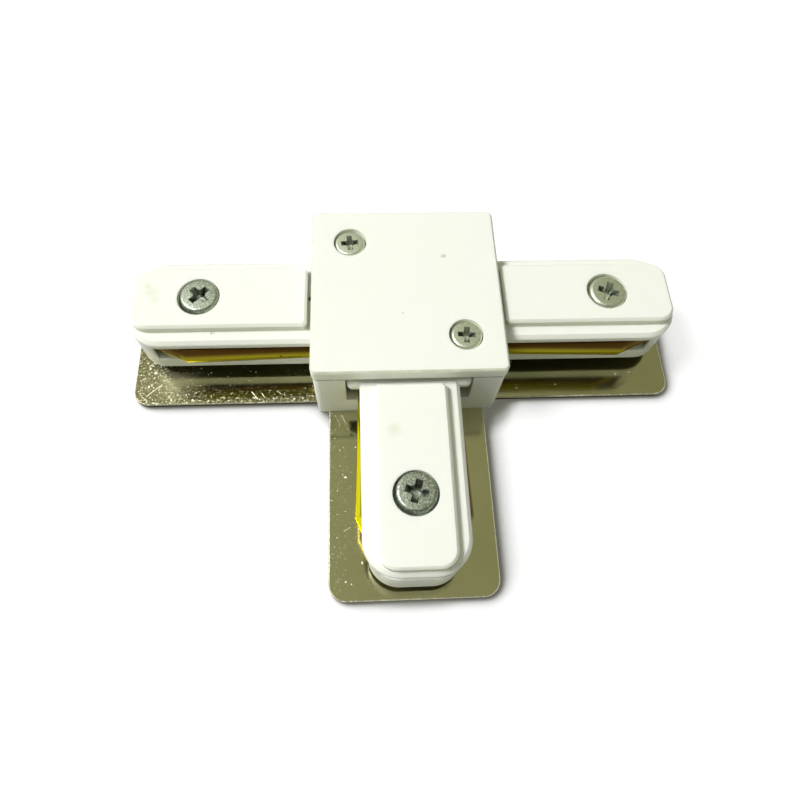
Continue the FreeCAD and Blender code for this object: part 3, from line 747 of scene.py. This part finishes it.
def arc(centre, radius, start_degrees, end_degrees, count):
    """Points of an arc in the outline's plane."""
    angles = [math.radians(start_degrees + (end_degrees - start_degrees) * i / count) for i in range(count + 1)]
    return [(centre[0] + radius * math.cos(a), centre[1] + radius * math.sin(a)) for a in angles]


def thread(bm, core_radius, crest_radius, pitch, bottom, top, steps):
    """Ridge with a pointed crest that climbs round the core."""
    sunk_radius = core_radius * 0.97
    half_width = 0.42
    turns = (top - bottom) / pitch
    count = int(turns * steps)
    previous = None
    for i in range(count + 1):
        angle = 2 * math.pi * i / steps
        level = bottom + pitch * i / steps
        fade = min(1.0, i / steps, (count - i) / steps)
        crest = core_radius + (crest_radius - core_radius) * fade
        ring = []
        for radius, lift in ((sunk_radius, -half_width), (crest, 0.0), (sunk_radius, half_width)):
            ring.append(bm.verts.new((
                radius * math.cos(angle), radius * math.sin(angle), level + pitch * lift)))
        if previous:
            for k in (0, 1):
                bm.faces.new((previous[k], ring[k], ring[k + 1], previous[k + 1]))
        previous = ring


print("helpers for turned forms ready")

# %% [markdown]
# ## The cross recess
#
# A punch drives the cross into the head. Its shape is two crossed bars that taper downwards, and a cone
# where they meet. Both are cut out of the head with exact booleans. They reach a little above the head, so
# that no face of the punch lies on a face of the head.

# %% Cross recess
def recess_cutter(span, foot, width, depth, top):
    """Two crossed tapered bars and a cone, the shape of the punch."""
    bm = bmesh.new()
    lift = 0.3
    grow = 1 + lift / depth * (1 - foot / span)
    narrow, wide = width * 0.72, width * 1.06
    for turn_angle in (0, math.pi / 2):
        corners = []
        for level, length, breadth in (
                (top - depth, foot, narrow), (top + lift, span * grow, wide)):
            for x, y in ((-1, -1), (1, -1), (1, 1), (-1, 1)):
                p = Vector((x * length / 2, y * breadth / 2, 0))
                p.rotate(Matrix.Rotation(turn_angle, 3, "Z"))
                corners.append(bm.verts.new((p.x, p.y, level)))
        low, high = corners[:4], corners[4:]
        bm.faces.new(low[::-1])
        bm.faces.new(high)
        for i in range(4):
            j = (i + 1) % 4
            bm.faces.new((low[i], low[j], high[j], high[i]))
    mesh = bpy.data.meshes.new("recess")
    bm.to_mesh(mesh)
    bm.free()
    bars = bpy.data.objects.new("recess", mesh)
    cone_bm = bmesh.new()
    point, rounding = top - depth * 1.12, top - depth * 1.05
    turn(cone_bm, [(0, point), (foot * 0.3, rounding), (span * 0.3, top + lift), (0, top + lift)], 24)
    cone_mesh = bpy.data.meshes.new("recess_cone")
    cone_bm.to_mesh(cone_mesh)
    cone_bm.free()
    cone = bpy.data.objects.new("recess_cone", cone_mesh)
    return bars, cone


def carve(body, cutters):
    """Cuts the cutters out of the body and keeps the result as its mesh."""
    for cutter in cutters:
        bpy.context.collection.objects.link(cutter)
        cut = body.modifiers.new(cutter.name, "BOOLEAN")
        cut.operation = "DIFFERENCE"
        cut.solver = "EXACT"
        cut.use_self = True
        cut.object = cutter
    graph = bpy.context.evaluated_depsgraph_get()
    carved = bpy.data.meshes.new_from_object(body.evaluated_get(graph))
    body.modifiers.clear()
    body.data = carved
    for cutter in cutters:
        bpy.data.objects.remove(cutter)


print("recess punch ready")

# %% [markdown]
# ## The clamp screws
#
# The plain solids of the screws have the same sizes and places, and the detailed ones take their place. A
# screw is made about its own axis in millimetres. One matrix then turns it, leans it, moves it to its place
# and scales it to metres. The heads sit loosely, so each leans by about a degree in its hole.

# %% Make a screw
def screw(name, head, shank_radius, tip, thread_top, pitch, cross, place_mm, turn_degrees, lean, body, node):
    """A pan-head screw with cross recess and thread, in millimetres about its own axis."""
    diameter, height, seat, shoulder = head
    top = seat + height
    radius = diameter / 2
    core = shank_radius * 0.82
    rim, crown = 0.1, 0.02
    outline = [(0, tip), (core * 0.75, tip), (core, tip + 0.35), (core, thread_top)]
    outline += [(shank_radius, thread_top + 0.3), (shank_radius, seat)]
    outline += [(radius - rim, seat), (radius, seat + rim)]
    outline += arc((radius - shoulder, top - shoulder), shoulder, 0, 90, 8)
    outline += [(radius * 0.4, top + crown), (0, top + crown)]
    bm = bmesh.new()
    turn(bm, outline, 72)
    mesh = bpy.data.meshes.new(name)
    bm.to_mesh(mesh)
    bm.free()
    piece = bpy.data.objects.new(name, mesh)
    bpy.context.collection.objects.link(piece)
    carve(piece, recess_cutter(*cross, top))
    bm = bmesh.new()
    bm.from_mesh(piece.data)
    thread(bm, core, shank_radius, pitch, tip + 0.5, thread_top, 36)
    bmesh.ops.recalc_face_normals(bm, faces=bm.faces)
    middle = Vector((place_mm[0], place_mm[1], 0))
    pivot = Vector((0, 0, tip + 1.0))
    turned = Matrix.Rotation(math.radians(turn_degrees), 4, "Z")
    lean_towards, lean_angle = (math.radians(angle) for angle in lean)
    lean_axis = (-math.sin(lean_towards), math.cos(lean_towards), 0)
    tilted = Matrix.Rotation(lean_angle, 4, lean_axis)
    leaning = Matrix.Translation(pivot) @ tilted @ Matrix.Translation(-pivot)
    bm.transform(Matrix.Scale(MM, 4) @ Matrix.Translation(middle) @ leaning @ turned)
    bm.to_mesh(piece.data)
    bm.free()
    piece.data.materials.clear()
    piece.data.materials.append(zinc_material)
    for face in piece.data.polygons:
        face.use_smooth = True
    piece.data.set_sharp_from_angle(angle=math.radians(28))
    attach(piece, body)
    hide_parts(node)
    print(name, len(piece.data.polygons), "faces")


# a head is its diameter, height, underside and shoulder, a cross its span, foot, width and depth, in mm.
# The underside stands 0.08 mm higher than the plain head's: a leaning head then clears its seat when the
# box is lifted against it
clamp_head = (7.1, 2.32, 13.68, 0.6)
clamp_cross = (4.1, 2.3, 1.25, 1.7)
clamp_places = {
    "left": ((-38.9, 0), 46, (60, 1.1)),
    "right": ((38.9, 0), 70, (-50, 1.1)),
    "stem": ((0, -38.9), 73, (60, 1.0)),
}
for arm, (place_mm, turn_degrees, lean) in clamp_places.items():
    screw(f"clamp_screw_m4_{arm}", clamp_head, shank_radius=2.0, tip=0.3, thread_top=9.5, pitch=0.7,
          cross=clamp_cross, place_mm=place_mm, turn_degrees=turn_degrees, lean=lean,
          body=f"screw_{arm}", node=f"clamp_screw_{arm}")

# %% [markdown]
# ## The cover screws
#
# The cover is held by two smaller tapping screws at opposite corners. The same function makes them, with a
# smaller head and a coarser thread.

# %% Cover screws
cover_head = (5.7, 1.7, 16.2, 0.5)
cover_cross = (3.3, 1.8, 1.0, 1.2)
cover_places = {
    "back_left": ((-10.4, 10.4), 5, (200, 0.5)),
    "front_right": ((10.4, -10.4), 85, (20, 0.6)),
}
for corner, (place_mm, turn_degrees, lean) in cover_places.items():
    screw(f"cover_screw_tapping_{corner}", cover_head, shank_radius=1.45, tip=6.2, thread_top=15.0, pitch=1.1,
          cross=cover_cross, place_mm=place_mm, turn_degrees=turn_degrees, lean=lean,
          body="housing", node=f"cover_screw_{corner}")
